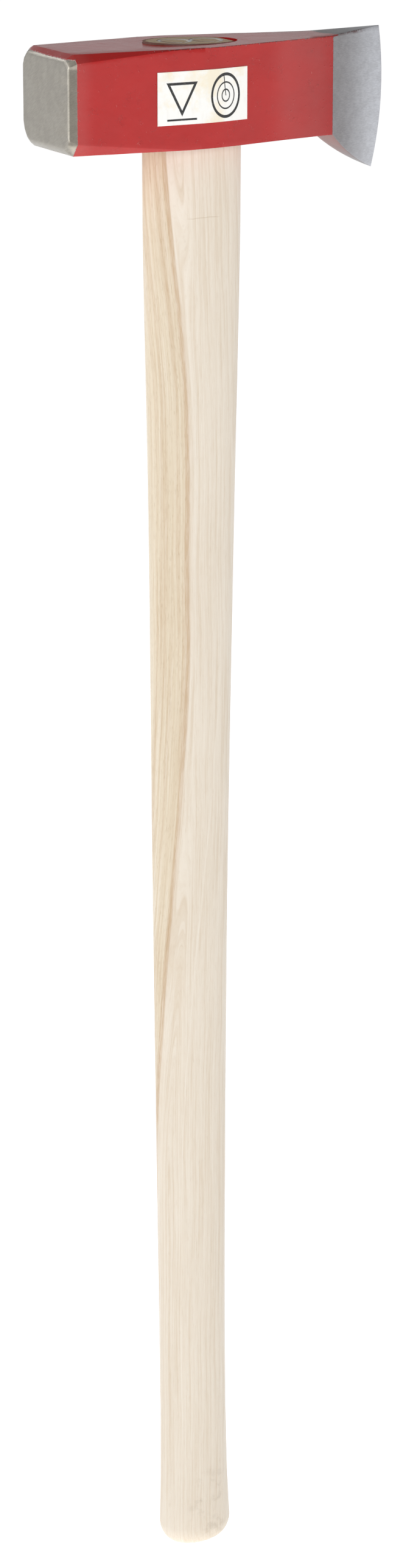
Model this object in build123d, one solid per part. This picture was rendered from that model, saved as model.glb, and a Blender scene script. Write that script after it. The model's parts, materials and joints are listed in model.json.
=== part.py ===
from build123d import *
from math import cos, degrees, radians, sin
import os

# Splitting maul: a forged steel head on an ash handle, held by two ring wedges.
#
# All sizes are in millimetres. The origin is the middle of the handle's butt end. +Z runs up the
# handle to the head, +X points from the poll to the cutting edge, and -Y is the labelled cheek.

os.makedirs("parts", exist_ok=True)

# ---- Overall ----
MAUL_LENGTH = 850.0         # butt end to the head's top face
HEAD_HEIGHT = 51.5          # top face to underside

# ---- Poll, the striking end ----
POLL_REACH = 84.0           # striking face behind the handle's axis
POLL_WIDTH = 60.0
POLL_RIM_DEPTH = 4.0        # ground chamfer round the striking face, along the head
POLL_RIM_INSET = 3.0        # the same chamfer, across the head

# The poll's long corners are forged off, and fade out beside the eye.
CORNER_FADE_X = -16.0
TOP_CORNER_WIDTH = 5.0
TOP_CORNER_HEIGHT = 4.3
BOTTOM_CORNER_WIDTH = 5.5
BOTTOM_CORNER_HEIGHT = 6.5

# ---- Swell beside the eye, and neck ----
SWELL_X = -3.0              # where the head is widest
SWELL_WIDTH = 60.0
SWELL_RADIUS = 80.0         # softens the turn in each cheek
NECK_REACH = 76.5           # where the cheeks end and the ground blade begins
NECK_THICKNESS = 25.5

# ---- Blade ----
EDGE_TOP_REACH = 110.8      # upper corner of the cutting edge
EDGE_TOP_RISE = 2.4         # upper corner above the top face
EDGE_TIP_REACH = 107.0      # lower tip of the cutting edge
BEARD_DROP = 20.1           # lower tip below the underside
BEARD_BELLY = 2.0           # outward bulge of the beard's lower line
EDGE_BOW = 3.7              # bulge of the cutting edge between its corners
EDGE_LAND = 0.5             # blunt width of the cutting edge

# ---- Eye and tenon ----
EYE_X = -1.0                # middle of the eye
EYE_LENGTH = 52.0
EYE_WIDTH = 34.0
TENON_FRONT_GAP = 5.0       # open crescent at the blade end of the eye, at the top
TENON_FOOT_GAP = 1.0        # the same crescent at the underside
TENON_PROUD = 0.9           # wood above the top face at the poll end of the eye
TENON_SUNK = 0.4            # wood below the top face at the blade end of the eye

# ---- Handle ----
LEDGE_POLL = 0.5            # shoulder under the head, past the poll end of the eye
LEDGE_BLADE = 2.5           # past the blade end of the eye
LEDGE_SIDE = 0.5            # past each side of the eye
NECK_IN_DEPTH = 60.0        # the shaft narrows gently this far below the head
NECK_IN = 0.8
END_ROUND = 14.0            # rounding of the butt end

# Ovals of the shaft, lower ones: height above the butt, length, width, forward shift.
GRIP_OVALS = [
    (END_ROUND, 41.6, 32.0, 2.0),
    (50.0, 39.4, 29.6, 1.4),
    (110.0, 38.7, 29.0, 0.6),
    (200.0, 39.6, 29.2, -0.2),
]

# Upper ones: distance below the head's underside, length, width, forward shift.
SHAFT_OVALS = [
    (400.0, 43.4, 30.4, -0.9),
    (200.0, 48.6, 32.4, -0.1),
]

# ---- Ring wedges ----
RING_WOOD_BLADE = 2.6       # wood left between the pair and the tenon's blade end
RING_WOOD_POLL = 8.0        # wood left between the pair and the tenon's poll end
RING_GAP = 0.4              # between the two rings
RING_WALL = 1.9             # at the top
RING_WALL_TIP = 0.6         # at the driven end
RING_DEPTH = 22.0
RING_SLIT = 1.6

# ---- Label ----
LABEL_LENGTH = 54.0         # along the cheek
LABEL_HEIGHT = 27.0
LABEL_THICKNESS = 0.2
LABEL_X = -8.0              # middle of the label
LABEL_BELOW_TOP = 11.2      # its upper edge below the top face

TOP_Z = MAUL_LENGTH
UNDERSIDE_Z = TOP_Z - HEAD_HEIGHT
EYE_POLL_END = EYE_X - EYE_LENGTH / 2
EYE_BLADE_END = EYE_X + EYE_LENGTH / 2
TENON_BLADE_END = EYE_BLADE_END - TENON_FRONT_GAP
RING_OUTER = (TENON_BLADE_END - RING_WOOD_BLADE - EYE_POLL_END - RING_WOOD_POLL - RING_GAP) / 2


def oval(height, length, width, shift):
    """A flat oval across the handle."""
    return Plane.XY.offset(height) * Pos(shift, 0) * Ellipse(length / 2, width / 2)


def slab(plane, depth):
    """A block on the outer side of a plane, larger than the head."""
    reach = 2 * (POLL_REACH + EDGE_TOP_REACH)
    return plane * Box(reach, reach, depth, align=(Align.CENTER, Align.CENTER, Align.MIN))


# ---- Head ----

def cheek_line():
    """Plan of the +Y cheek from the striking face to the neck, with a soft turn at the swell."""
    poll = (-POLL_REACH, POLL_WIDTH / 2)
    swell = (SWELL_X, SWELL_WIDTH / 2)
    neck = (NECK_REACH, NECK_THICKNESS / 2)
    return FilletPolyline(poll, swell, neck, radius=SWELL_RADIUS)


def body_plan():
    """Plan of the head without its blade."""
    cheek = cheek_line()
    far_cheek = mirror(cheek, about=Plane.XZ)
    poll_end = Line(cheek @ 0, far_cheek @ 0)
    neck_end = Line(cheek @ 1, far_cheek @ 1)
    return make_face([*cheek.edges(), *far_cheek.edges(), poll_end, neck_end])


def cheek_y(x):
    """Half width of the head between the poll and the swell."""
    share = (x + POLL_REACH) / (SWELL_X + POLL_REACH)
    return (POLL_WIDTH + share * (SWELL_WIDTH - POLL_WIDTH)) / 2


def corner_cut(side, level, into, width, height):
    """The block that forges off one long corner of the poll."""
    start_x = POLL_RIM_DEPTH - POLL_REACH
    edge_y = cheek_y(start_x)
    on_face = Vector(start_x, side * (edge_y - width), level)
    on_cheek = Vector(start_x, side * edge_y, level + into * height)
    fade = Vector(CORNER_FADE_X, side * cheek_y(CORNER_FADE_X), level)
    normal = (on_cheek - on_face).cross(fade - on_face)
    if normal.Z * into > 0:
        normal = -normal
    return slab(Plane(origin=fade, z_dir=normal), HEAD_HEIGHT)


def poll_block():
    """The head from the striking face to the neck."""
    block = Plane.XY.offset(UNDERSIDE_Z) * extrude(body_plan(), HEAD_HEIGHT)
    for side in (-1, 1):
        block -= corner_cut(side, TOP_Z, -1, TOP_CORNER_WIDTH, TOP_CORNER_HEIGHT)
        block -= corner_cut(side, UNDERSIDE_Z, 1, BOTTOM_CORNER_WIDTH, BOTTOM_CORNER_HEIGHT)
    face = block.faces().sort_by(Axis.X)[0]
    return chamfer(face.edges(), POLL_RIM_INSET, POLL_RIM_DEPTH, reference=face)


def edge_arc():
    """The cutting edge, from its tip up to its upper corner, in the XZ plane."""
    tip = Vector(EDGE_TIP_REACH, 0, UNDERSIDE_Z - BEARD_DROP)
    corner = Vector(EDGE_TOP_REACH, 0, TOP_Z + EDGE_TOP_RISE)
    along = (corner - tip).normalized()
    outward = Vector(along.Z, 0, -along.X)
    return ThreePointArc(tip, (tip + corner) / 2 + outward * EDGE_BOW, corner)


def blade_wedge():
    """Two bevels that run from the neck to the bowed cutting edge, past it above and below."""
    arc = edge_arc()
    centre = arc.arc_center
    spare = 6.0
    lowest = UNDERSIDE_Z - BEARD_DROP - spare
    highest = TOP_Z + EDGE_TOP_RISE + spare
    steps = 6
    sections = []
    for step in range(steps + 1):
        z = lowest + (highest - lowest) * step / steps
        x = centre.X + (arc.radius**2 - (z - centre.Z) ** 2) ** 0.5
        outline = Polyline(
            (NECK_REACH, -NECK_THICKNESS / 2),
            (x, -EDGE_LAND / 2),
            (x, EDGE_LAND / 2),
            (NECK_REACH, NECK_THICKNESS / 2),
            close=True,
        )
        sections.append(Plane.XY.offset(z) * make_face(outline))
    return loft(sections)


def blade_profile():
    """Side view of the blade: a level top that rises to the edge, and a beard below."""
    neck_top = Vector(NECK_REACH, 0, TOP_Z)
    neck_bottom = Vector(NECK_REACH, 0, UNDERSIDE_Z)
    tip = Vector(EDGE_TIP_REACH, 0, UNDERSIDE_Z - BEARD_DROP)
    corner = Vector(EDGE_TOP_REACH, 0, TOP_Z + EDGE_TOP_RISE)
    along = (tip - neck_bottom).normalized()
    outward = Vector(along.Z, 0, -along.X)
    beard = ThreePointArc(neck_bottom, (neck_bottom + tip) / 2 + outward * BEARD_BELLY, tip)
    past_tip = tip + Vector(2 * EDGE_BOW, 0, 0)
    past_corner = corner + Vector(2 * EDGE_BOW, 0, 0)
    front = Polyline(tip, past_tip, past_corner, corner, neck_top, neck_bottom)
    return extrude(make_face([beard, *front.edges()]), NECK_THICKNESS, both=True)


def eye_block():
    """The oval hole through the head."""
    spare = 10.0
    return extrude(oval(UNDERSIDE_Z - spare, EYE_LENGTH, EYE_WIDTH, EYE_X), HEAD_HEIGHT + 2 * spare)


def make_head():
    """The forged head: poll, cheeks, blade and eye in one piece of steel."""
    blade = blade_wedge() & blade_profile()
    return poll_block() + blade - eye_block()


# ---- Ring wedges ----

def tenon_top(x):
    """Height of the sawn tenon top at x."""
    share = (x - EYE_POLL_END) / EYE_LENGTH
    return TOP_Z + TENON_PROUD - share * (TENON_PROUD + TENON_SUNK)


def ring_solid(x):
    """A ring that tapers to its driven end. It takes up the tenon top's height at x."""
    top = tenon_top(x)
    outer = RING_OUTER / 2
    profile = Plane.XZ * make_face(
        Polyline(
            (outer, 0),
            (outer - RING_WALL, 0),
            (outer - (RING_WALL + RING_WALL_TIP) / 2, -RING_DEPTH),
            (outer - (RING_WALL - RING_WALL_TIP) / 2, -RING_DEPTH),
            close=True,
        )
    )
    slit_angle = degrees(RING_SLIT / outer)
    ring = revolve(profile, Axis.Z, 360 - slit_angle)
    return Pos(x, 0, top) * Rot(0, 0, slit_angle / 2 - 90) * ring


# ---- Handle ----

def butt_ovals():
    """Ovals that round the butt end off in even steps of a quarter circle."""
    height, length, width, shift = GRIP_OVALS[0]
    steps = 6
    ovals = []
    for step in range(steps + 1):
        turn = radians(90 * step / steps)
        inset = 2 * END_ROUND * (1 - sin(turn))
        ovals.append(oval(height * (1 - cos(turn)), length - inset, width - inset, shift))
    return ovals


def make_handle(rings):
    """The ash handle: rounded butt, grip, shaft, shoulder and the tenon in the head's eye."""
    shaft_ovals = [oval(*station) for station in GRIP_OVALS]
    for below, length, width, shift in SHAFT_OVALS:
        shaft_ovals.append(oval(UNDERSIDE_Z - below, length, width, shift))
    length = EYE_LENGTH + LEDGE_POLL + LEDGE_BLADE
    width = EYE_WIDTH + 2 * LEDGE_SIDE
    shift = EYE_X + (LEDGE_BLADE - LEDGE_POLL) / 2
    shaft_ovals.append(oval(UNDERSIDE_Z - NECK_IN_DEPTH, length - NECK_IN, width - NECK_IN, shift))
    shaft_ovals.append(oval(UNDERSIDE_Z, length, width, shift))

    tenon = extrude(oval(UNDERSIDE_Z, EYE_LENGTH, EYE_WIDTH, EYE_X), HEAD_HEIGHT + TENON_PROUD)
    sawn_at = Vector(EYE_POLL_END, 0, tenon_top(EYE_POLL_END))
    sawn_to = Vector(EYE_BLADE_END, 0, tenon_top(EYE_BLADE_END))
    across = Vector(0, 1, 0)
    sawn = Plane(origin=sawn_at, x_dir=sawn_to - sawn_at, z_dir=(sawn_to - sawn_at).cross(across))
    tenon -= slab(sawn, HEAD_HEIGHT)

    front_foot = Vector(EYE_BLADE_END - TENON_FOOT_GAP, 0, UNDERSIDE_Z)
    front_head = Vector(TENON_BLADE_END, 0, TOP_Z)
    pared = Plane(origin=front_foot, z_dir=across.cross(front_head - front_foot))
    tenon -= slab(pared, HEAD_HEIGHT)

    for ring in rings:
        tenon -= ring
    return tenon + loft(shaft_ovals) + loft(butt_ovals())


# ---- Label ----

def make_label():
    """A thin sticker that follows the -Y cheek round the swell."""
    plan = body_plan()
    skin = offset(plan, LABEL_THICKNESS, kind=Kind.INTERSECTION) - plan
    low = TOP_Z - LABEL_BELOW_TOP - LABEL_HEIGHT
    skin = Plane.XY.offset(low) * extrude(skin, LABEL_HEIGHT)
    window = Box(LABEL_LENGTH, POLL_WIDTH, 2 * HEAD_HEIGHT, align=(Align.CENTER, Align.MAX, Align.CENTER))
    return skin & Pos(LABEL_X, 0, TOP_Z) * window


# ---- Build and export ----

blade_ring_x = TENON_BLADE_END - RING_WOOD_BLADE - RING_OUTER / 2
ring_blade_side = ring_solid(blade_ring_x)
ring_poll_side = ring_solid(blade_ring_x - RING_OUTER - RING_GAP)

NODES = {
    "head": make_head(),
    "handle": make_handle([ring_poll_side, ring_blade_side]),
    "ring_wedge_poll_side": ring_poll_side,
    "ring_wedge_blade_side": ring_blade_side,
    "label": make_label(),
}

for name, shape in NODES.items():
    shape.label = name
    export_step(shape, f"parts/{name}.step")
    print(name, round(shape.volume / 1000, 2), "cm3,", len(shape.solids()), "solid")
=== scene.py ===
"""Visual model of a splitting maul: a painted, forged head on an ash handle.

Lengths are in metres in the add-on's properties and in millimetres inside the materials.
+Z runs up the handle, +X points to the cutting edge, and -Y is the labelled cheek.
"""

import json
import math

import bmesh
import bpy
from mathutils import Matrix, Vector

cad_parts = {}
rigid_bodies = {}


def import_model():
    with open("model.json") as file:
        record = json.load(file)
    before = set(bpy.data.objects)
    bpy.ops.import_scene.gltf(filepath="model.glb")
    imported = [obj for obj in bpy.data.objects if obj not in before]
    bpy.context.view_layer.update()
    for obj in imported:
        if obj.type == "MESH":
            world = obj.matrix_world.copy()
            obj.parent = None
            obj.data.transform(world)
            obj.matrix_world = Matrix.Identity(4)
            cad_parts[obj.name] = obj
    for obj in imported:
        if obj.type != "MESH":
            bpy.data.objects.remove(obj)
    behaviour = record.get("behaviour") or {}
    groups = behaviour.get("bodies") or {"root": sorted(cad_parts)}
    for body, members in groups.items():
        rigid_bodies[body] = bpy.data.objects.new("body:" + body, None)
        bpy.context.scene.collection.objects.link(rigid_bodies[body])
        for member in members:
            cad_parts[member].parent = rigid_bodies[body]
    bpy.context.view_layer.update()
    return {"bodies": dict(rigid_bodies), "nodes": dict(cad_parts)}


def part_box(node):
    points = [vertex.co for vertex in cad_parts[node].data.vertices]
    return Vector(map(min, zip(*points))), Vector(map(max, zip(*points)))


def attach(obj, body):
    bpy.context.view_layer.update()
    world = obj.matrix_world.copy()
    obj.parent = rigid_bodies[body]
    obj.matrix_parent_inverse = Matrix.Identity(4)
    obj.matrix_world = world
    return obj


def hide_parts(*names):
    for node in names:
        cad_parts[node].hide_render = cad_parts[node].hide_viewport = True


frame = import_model()

bl_info = {
    "name": "Splitting Maul",
    "version": (1, 0, 0),
    "blender": (4, 5, 0),
    "location": "View3D > Sidebar > Maul",
    "description": "Builds a splitting maul piece by piece, with its finishes and a studio",
    "category": "Object",
}

MM = 0.001
BODY = next(iter(frame["bodies"]))
HEAD_LOW, HEAD_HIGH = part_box("head")
LABEL_LOW, LABEL_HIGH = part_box("label")
EDGE_TOP_RISE = 2.4 * MM
BEARD_DROP = 20.1 * MM
TOP_Z = HEAD_HIGH.z - EDGE_TOP_RISE
UNDERSIDE_Z = HEAD_LOW.z + BEARD_DROP
LABEL_FILM = 0.2 * MM

# The ring wedges' pieces, and the CAD nodes that they stand for.
RINGS = {"ring_poll_side": "ring_wedge_poll_side", "ring_blade_side": "ring_wedge_blade_side"}

# Stations of the blade between the neck and the cutting edge.
BLADE_STATIONS = 8

# Least turns, in degrees, that stay sharp in each piece's shading.
FORGED_SHADING = 32
RING_SHADING = 35
HANDLE_SHADING = 40
LABEL_SHADING = 30

# Degrees between the growth rings and the head's length, and one year's width in millimetres.
GRAIN_TURN = 27.4
YEAR_WIDTH = 2.7

# Square area lights: name, place and side in metres, power in watts.
SOFTBOXES = (
    ("key", (-0.6, -2.95, 1.3), 1.3, 31),
    ("back", (-1.7, 2.3, 2.3), 1.4, 30),
    ("side", (-2.6, 0.5, 1.2), 1.4, 14),
)
# The surroundings' strength, from just above the horizon to near the zenith.
SKY = {"From Min": 0.05, "From Max": 0.8, "To Min": 0.66, "To Max": 0.26}
FLOOR_SIZE = 60
FLOOR_GLOW = 0.85


# ---- Sizes and colours that a user may change ----

def number_prop(name, description, default, **more):
    """A number."""
    return bpy.props.FloatProperty(name=name, description=description, default=default, precision=5, **more)


def length_prop(name, description, default):
    """A length in metres."""
    return number_prop(name, description, default, subtype="DISTANCE", unit="LENGTH")


def angle_prop(name, description, degrees):
    """An angle, given in degrees."""
    return number_prop(name, description, math.radians(degrees), subtype="ANGLE", unit="ROTATION")


def colour_prop(name, description, default):
    """A linear RGB colour."""
    return bpy.props.FloatVectorProperty(
        name=name, description=description, default=default, size=3, min=0.0, max=1.0, subtype="COLOR"
    )


class MaulHeadSizes(bpy.types.PropertyGroup):
    """Sizes of the forged head."""

    poll_width: length_prop("Poll width", "Across the striking end", 60 * MM)
    rim_depth: length_prop("Rim depth", "Chamfer round the striking face, along the head", 4 * MM)
    rim_inset: length_prop("Rim inset", "The same chamfer, across the head", 3 * MM)
    fade_x: length_prop("Corner fade", "Where the poll's forged corners run out", -16 * MM)
    top_corner_width: length_prop("Top corner width", "Upper forged corner, on the top face", 5 * MM)
    top_corner_height: length_prop("Top corner height", "Upper forged corner, on the cheek", 4.3 * MM)
    low_corner_width: length_prop("Low corner width", "Lower forged corner, on the underside", 5.5 * MM)
    low_corner_height: length_prop("Low corner height", "Lower forged corner, on the cheek", 6.5 * MM)
    swell_x: length_prop("Swell", "Where each cheek turns in", -3 * MM)
    swell_radius: length_prop("Swell radius", "Softness of that turn", 80 * MM)
    neck_x: length_prop("Neck", "Where the ground blade begins", 76.5 * MM)
    neck_width: length_prop("Neck width", "Thickness of the head at the neck", 25.5 * MM)
    edge_top_x: length_prop("Edge corner", "Upper corner of the cutting edge", 110.8 * MM)
    edge_tip_x: length_prop("Edge tip", "Lower tip of the cutting edge", 107 * MM)
    edge_bow: length_prop("Edge bow", "Bulge of the cutting edge", 3.7 * MM)
    edge_land: length_prop("Edge land", "Blunt width of the cutting edge", 0.5 * MM)
    beard_belly: length_prop("Beard belly", "Bulge of the beard's lower line", 2 * MM)
    eye_x: length_prop("Eye place", "Middle of the eye", -1 * MM)
    eye_length: length_prop("Eye length", "Along the head", 52 * MM)
    eye_width: length_prop("Eye width", "Across the head", 34 * MM)
    far_corner_width: length_prop("Far corner width", "Rounding of the far corners, across", 11 * MM)
    far_top_height: length_prop("Far top corner height", "Rounding of the far top corner, down", 10 * MM)
    far_low_height: length_prop("Far low corner height", "Rounding of the far low corner, up", 14 * MM)
    rim_round: length_prop("Rim rounding", "Worn rounding of the striking face", 1.6 * MM)
    edge_round: length_prop("Edge rounding", "Softness of the forged edges", 0.7 * MM)
    unevenness: length_prop("Unevenness", "Depth of the forging's waviness", 0.35 * MM)


class MaulHandleSizes(bpy.types.PropertyGroup):
    """Sizes of the ash handle and its rings."""

    end_round: length_prop("End rounding", "Rounding of the butt end", 14 * MM)
    ledge_poll: length_prop("Ledge, poll", "Shoulder past the eye's poll end", 0.5 * MM)
    ledge_blade: length_prop("Ledge, blade", "Shoulder past the eye's blade end", 2.5 * MM)
    ledge_side: length_prop("Ledge, side", "Shoulder past each side of the eye", 0.5 * MM)
    front_gap: length_prop("Front gap", "Open crescent at the eye's blade end, at the top", 5 * MM)
    foot_gap: length_prop("Foot gap", "The same crescent at the underside", 1 * MM)
    proud: length_prop("Proud", "Tenon above the top face at the poll end", 0.9 * MM)
    sunk: length_prop("Sunk", "Tenon below the top face at the blade end", 0.4 * MM)
    ring_wall: length_prop("Ring wall", "Wall of a ring wedge at its top", 1.9 * MM)
    ring_tip: length_prop("Ring tip", "Wall of a ring wedge at its driven end", 0.6 * MM)
    ring_slit: length_prop("Ring slit", "Slit in a ring wedge", 1.6 * MM)


class MaulColours(bpy.types.PropertyGroup):
    """Colours of the finishes."""

    paint: colour_prop("Paint", "Head paint", (0.43, 0.010, 0.009))
    # Also serves as the painted shade on the poll's upper rim.
    paint_dark_and_rim_shade: colour_prop("Dark paint", "Thick or dusty paint", (0.17, 0.010, 0.009))
    poll_steel: colour_prop("Poll steel", "Ground steel of the striking end", (0.316, 0.298, 0.262))
    blade_steel: colour_prop("Blade steel", "Ground steel of the blade", (0.42, 0.42, 0.43))
    ash_pale: colour_prop("Pale ash", "Sapwood", (0.738, 0.662, 0.560))
    ash_cream: colour_prop("Cream ash", "Late wood", (0.68, 0.575, 0.405))
    ash_tan: colour_prop("Tan ash", "Darker rings", (0.54, 0.385, 0.24))
    end_grain: colour_prop("End grain", "Sawn tenon", (0.60, 0.46, 0.30))
    sticker: colour_prop("Sticker", "Label film", (0.90, 0.893, 0.862))
    ink: colour_prop("Ink", "Label print", (0.012, 0.012, 0.013))
    floor: colour_prop("Floor", "Studio floor", (0.9, 0.9, 0.9))


class MaulStage(bpy.types.PropertyGroup):
    """Camera and lights."""

    azimuth: angle_prop("Camera side", "Turn from straight on, towards the poll", 27.37)
    tilt: angle_prop("Camera tilt", "Slope below level", 17.12)
    distance: length_prop("Camera distance", "From the handle's axis, level", 2.2147)
    rise: length_prop("Camera rise", "Above the head's top face", 0.2547)
    lens: number_prop("Lens", "Focal length in millimetres on a 36 mm long side", 97.76)
    shift_x: number_prop("Shift right", "Lens shift as a share of the long side", 0.0073)
    shift_y: number_prop("Shift up", "Lens shift as a share of the long side", 0.0322)


# ---- Modelling helpers ----

def open_piece(name, add, scale=(1, 1, 1), **where):
    """Adds a primitive on its own, puts its place into its mesh and opens it in edit mode."""
    bpy.ops.object.select_all(action="DESELECT")
    add(**where)
    piece = bpy.context.object
    piece.name = name
    piece.data.name = name
    piece.scale = scale
    bpy.ops.object.transform_apply(location=True, rotation=True, scale=True)
    bpy.ops.object.mode_set(mode="EDIT")
    bpy.ops.mesh.select_all(action="DESELECT")
    return piece


def close_piece():
    """Leaves edit mode with the open piece's doubles merged and its faces outward."""
    bpy.ops.mesh.select_all(action="SELECT")
    bpy.ops.mesh.remove_doubles(threshold=0.01 * MM)
    bpy.ops.mesh.normals_make_consistent(inside=False)
    bpy.ops.mesh.select_all(action="DESELECT")
    bpy.ops.object.mode_set(mode="OBJECT")


def pick(piece, kind, test):
    """Selects the points, edges or faces of an open piece that pass a test."""
    bpy.ops.mesh.select_mode(type=kind)
    bpy.ops.mesh.select_all(action="DESELECT")
    mesh = bmesh.from_edit_mesh(piece.data)
    for item in {"VERT": mesh.verts, "EDGE": mesh.edges, "FACE": mesh.faces}[kind]:
        if test(item):
            item.select = True
    mesh.select_flush_mode()
    bmesh.update_edit_mesh(piece.data)


def pick_points(piece, test):
    """Selects the points whose place passes a test."""
    pick(piece, "VERT", lambda point: test(point.co))


def pick_faces(piece, test):
    """Selects the faces whose middle and normal pass a test."""
    pick(piece, "FACE", lambda face: test(face.calc_center_median(), face.normal))


def pick_edges(piece, test, least_turn=0.0):
    """Selects the edges whose two ends pass a test and whose faces turn enough."""
    pick(
        piece, "EDGE",
        lambda edge: len(edge.link_faces) == 2 and edge.calc_face_angle() >= least_turn
        and test(*(point.co for point in edge.verts)),
    )


def pick_all():
    """Selects all of the open piece."""
    bpy.ops.mesh.select_all(action="SELECT")


def draw_out(x, y, z):
    """Extrudes what is selected."""
    bpy.ops.mesh.extrude_region_move(TRANSFORM_OT_translate={"value": (x, y, z)})


def resize(x, y, z, about=(0, 0, 0)):
    """Scales what is selected about a point."""
    bpy.ops.transform.resize(value=(x, y, z), center_override=about)


def cut_all(plane_co, plane_no, remove=False):
    """Cuts the whole open piece along a plane, and may take off what the normal points to."""
    pick_all()
    bpy.ops.mesh.bisect(plane_co=plane_co, plane_no=plane_no, use_fill=remove, clear_outer=remove)


def add_modifier(piece, kind, **settings):
    """Adds a modifier and applies it."""
    bpy.context.view_layer.objects.active = piece
    bpy.ops.object.modifier_add(type=kind)
    modifier = piece.modifiers[-1]
    for key, value in settings.items():
        setattr(modifier, key, value)
    bpy.ops.object.modifier_apply(modifier=modifier.name)


def select_only(piece):
    """Makes one object the selected and active one."""
    bpy.ops.object.select_all(action="DESELECT")
    piece.select_set(True)
    bpy.context.view_layer.objects.active = piece


def smooth_piece(piece, degrees):
    """Shades a piece smooth, but for the edges that turn by more than this."""
    select_only(piece)
    bpy.ops.object.shade_smooth_by_angle(angle=math.radians(degrees), keep_sharp_edges=True)


def finish_piece(piece, node, material):
    """Gives a piece its material and its body, puts the material into the slots of the CAD node that it
    stands for, and hides that node.
    """
    piece.data.materials.clear()
    piece.data.materials.append(material)
    for cad_slot in frame["nodes"][node].material_slots:
        cad_slot.material = material
    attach(piece, BODY)
    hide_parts(node)


# ---- Shape of the maul ----

def swell_span(head):
    """Start, end and turn of the arc in each cheek."""
    turn = math.atan2((head.poll_width - head.neck_width) / 2, head.neck_x - head.swell_x)
    run = head.swell_radius * math.tan(turn / 2)
    return head.swell_x - run, head.swell_x + run * math.cos(turn), turn


def cheek_half(head, x):
    """Half width of the head at x, between the poll and the neck."""
    start, end, turn = swell_span(head)
    half = head.poll_width / 2
    if x <= start:
        return half
    if x < end:
        return half - head.swell_radius + math.sqrt(head.swell_radius**2 - (x - start) ** 2)
    return half - (x - head.swell_x) * math.tan(turn)


def forward_of(low, high):
    """Unit direction in the side view, square to a line and towards the edge."""
    along = (high - low).normalized()
    return Vector((along.z, 0, -along.x))


def edge_place(head, share):
    """Point on the cutting edge, from its tip at 0 to its upper corner at 1."""
    tip = Vector((head.edge_tip_x, 0, UNDERSIDE_Z - BEARD_DROP))
    corner = Vector((head.edge_top_x, 0, TOP_Z + EDGE_TOP_RISE))
    bow = head.edge_bow * 4 * share * (1 - share)
    return tip.lerp(corner, share) + forward_of(tip, corner) * bow


def edge_x_at(head, z):
    """How far forward the cutting edge is at a height."""
    low, high = 0.0, 1.0
    for _ in range(24):
        middle = (low + high) / 2
        if edge_place(head, middle).z < z:
            low = middle
        else:
            high = middle
    return edge_place(head, low).x


def blade_place(head, share, reach):
    """Place of a row of the blade: share up its height, reach from the neck to the edge."""
    neck = Vector((head.neck_x, 0, UNDERSIDE_Z + share * (TOP_Z - UNDERSIDE_Z)))
    place = neck.lerp(edge_place(head, share), reach)
    below = forward_of(Vector((head.neck_x, 0, UNDERSIDE_Z)), edge_place(head, 0))
    return place + below * head.beard_belly * 4 * reach * (1 - reach) * (1 - share) ** 2


def blade_half(head, place):
    """Half thickness of the blade at a place in its side view."""
    share = (place.x - head.neck_x) / (edge_x_at(head, place.z) - head.neck_x)
    share = min(max(share, 0.0), 1.0)
    return (head.neck_width + share * (head.edge_land - head.neck_width)) / 2


def round_corner(head, side, level, into, width, height):
    """Cuts one long corner off the open piece's poll, which fades out beside the eye."""
    start_x = HEAD_LOW.x + head.rim_depth
    edge_y = head.poll_width / 2
    on_face = Vector((start_x, side * (edge_y - width), level))
    on_cheek = Vector((start_x, side * edge_y, level + into * height))
    fade = Vector((head.fade_x, side * edge_y, level))
    normal = (on_cheek - on_face).cross(fade - on_face).normalized()
    if normal.z * into > 0:
        normal = -normal
    cut_all(fade, normal, remove=True)


def shape_blade(piece, head):
    """Draws the neck's front face out to the bowed cutting edge, station by station."""
    for step in range(1, BLADE_STATIONS + 1):
        pick_faces(piece, lambda middle, normal: normal.x > 0.5 and middle.x > head.neck_x - 0.5 * MM)
        draw_out(0.001 * MM, 0, 0)
        mesh = bmesh.from_edit_mesh(piece.data)
        front = [point.co.copy() for point in mesh.verts if point.select]
        levels = sorted({round(co.z / MM, 2) for co in front})
        for row, level in enumerate(levels):
            old = [co for co in front if abs(co.z / MM - level) < 0.02]
            now = old[0]
            half = max(abs(co.y) for co in old)
            aim = blade_place(head, row / (len(levels) - 1), step / BLADE_STATIONS)
            pick_points(
                piece, lambda co: abs(co.x - now.x) < 0.0004 * MM and abs(co.z - now.z) < 0.02 * MM
            )
            resize(1, blade_half(head, aim) / half, 1)
            bpy.ops.transform.translate(value=(aim.x - now.x, 0, aim.z - now.z))


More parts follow.
